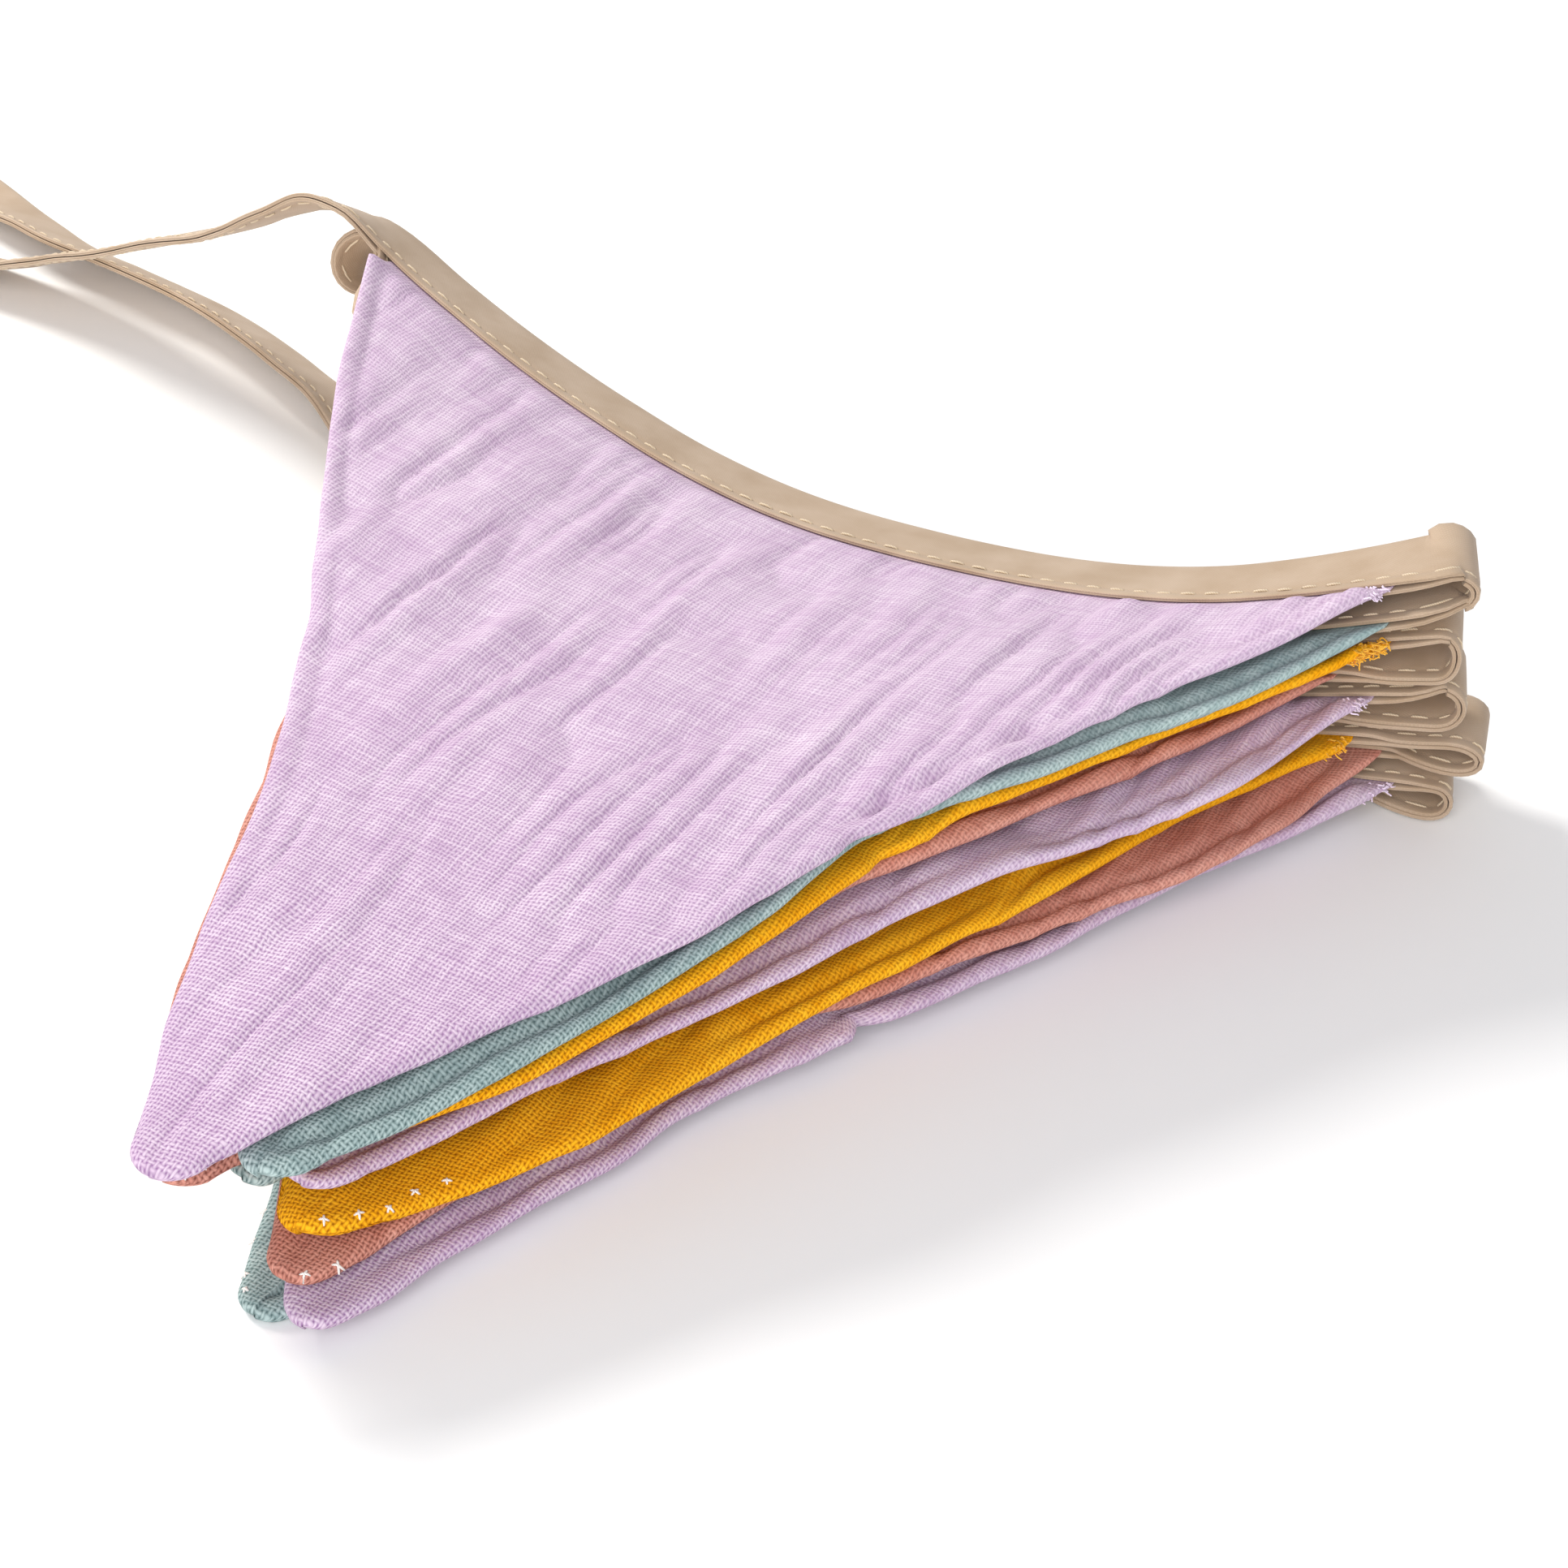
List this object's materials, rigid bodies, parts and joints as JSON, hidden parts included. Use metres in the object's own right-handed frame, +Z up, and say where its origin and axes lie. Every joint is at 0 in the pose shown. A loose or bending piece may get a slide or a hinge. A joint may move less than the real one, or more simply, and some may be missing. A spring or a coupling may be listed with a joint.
{
  "type": "fabric bunting",
  "caption": "String of triangular double-gauze flags on one folded bias tape with two free ties, folded back and forth into a low flat stack with looped tape ends.",
  "frame": {"origin": "on the underside of the bottom flag, below the middle of the stack of flags", "axes": "+Z up from the surface the stack lies on; +X along the taped side, away from the two ties; the flags' tips point towards -Y"},
  "size_m": [0.2887, 0.2081, 0.0495],
  "materials": {
    "lilac_gauze": "matte crinkled cotton double gauze, lilac",
    "teal_gauze": "matte crinkled cotton double gauze, grey teal",
    "mustard_gauze": "matte crinkled cotton double gauze, mustard",
    "rust_gauze": "matte crinkled cotton double gauze, rust",
    "tan_tape": "smooth pressed cotton bias tape, tan"
  },
  "bodies": {
    "root": {"flag_01_lilac": "lilac_gauze", "flag_02_teal": "teal_gauze", "flag_03_mustard": "mustard_gauze", "flag_04_rust": "rust_gauze", "flag_05_lilac": "lilac_gauze", "flag_06_teal": "teal_gauze", "flag_07_mustard": "mustard_gauze", "flag_08_rust": "rust_gauze", "flag_09_lilac": "lilac_gauze", "flag_10_teal": "teal_gauze", "tape": "tan_tape"}
  },
  "joints": []
}
